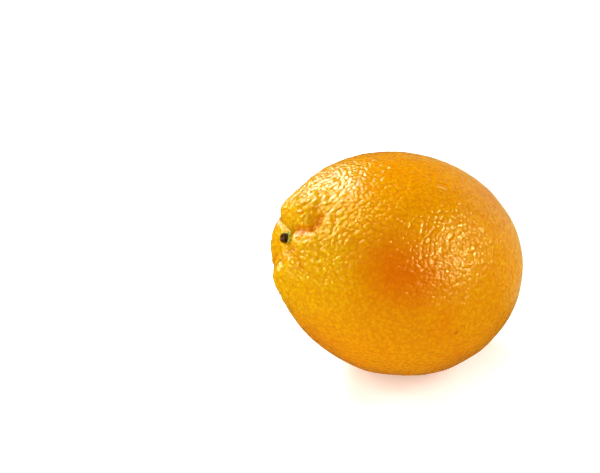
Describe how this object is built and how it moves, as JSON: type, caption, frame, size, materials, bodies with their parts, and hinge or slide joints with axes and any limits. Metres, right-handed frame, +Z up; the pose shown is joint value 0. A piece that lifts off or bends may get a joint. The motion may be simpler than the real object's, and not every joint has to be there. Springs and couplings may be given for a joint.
{
  "type": "orange",
  "caption": "Whole ripe sweet orange lying on its side, slightly long, with a furrowed hollow round the cut stem button and a small flat spot underneath.",
  "frame": {"origin": "middle of the flat spot that the fruit rests on, so the part stands on Z = 0", "axes": "+Z up; +X level, along the fruit's length towards the blossom end; the stem end points to -X and is raised 19.5 degrees; +Y away from the front"},
  "size_m": [0.0862, 0.0756, 0.0761],
  "materials": {
    "peel": "waxy golden-orange rind, pitted all over by oil glands, yellower round the stem",
    "stem": "dry brown cut stem on a small green-grey calyx"
  },
  "bodies": {
    "root": {"fruit": "peel", "stem_button": "stem"}
  },
  "joints": []
}
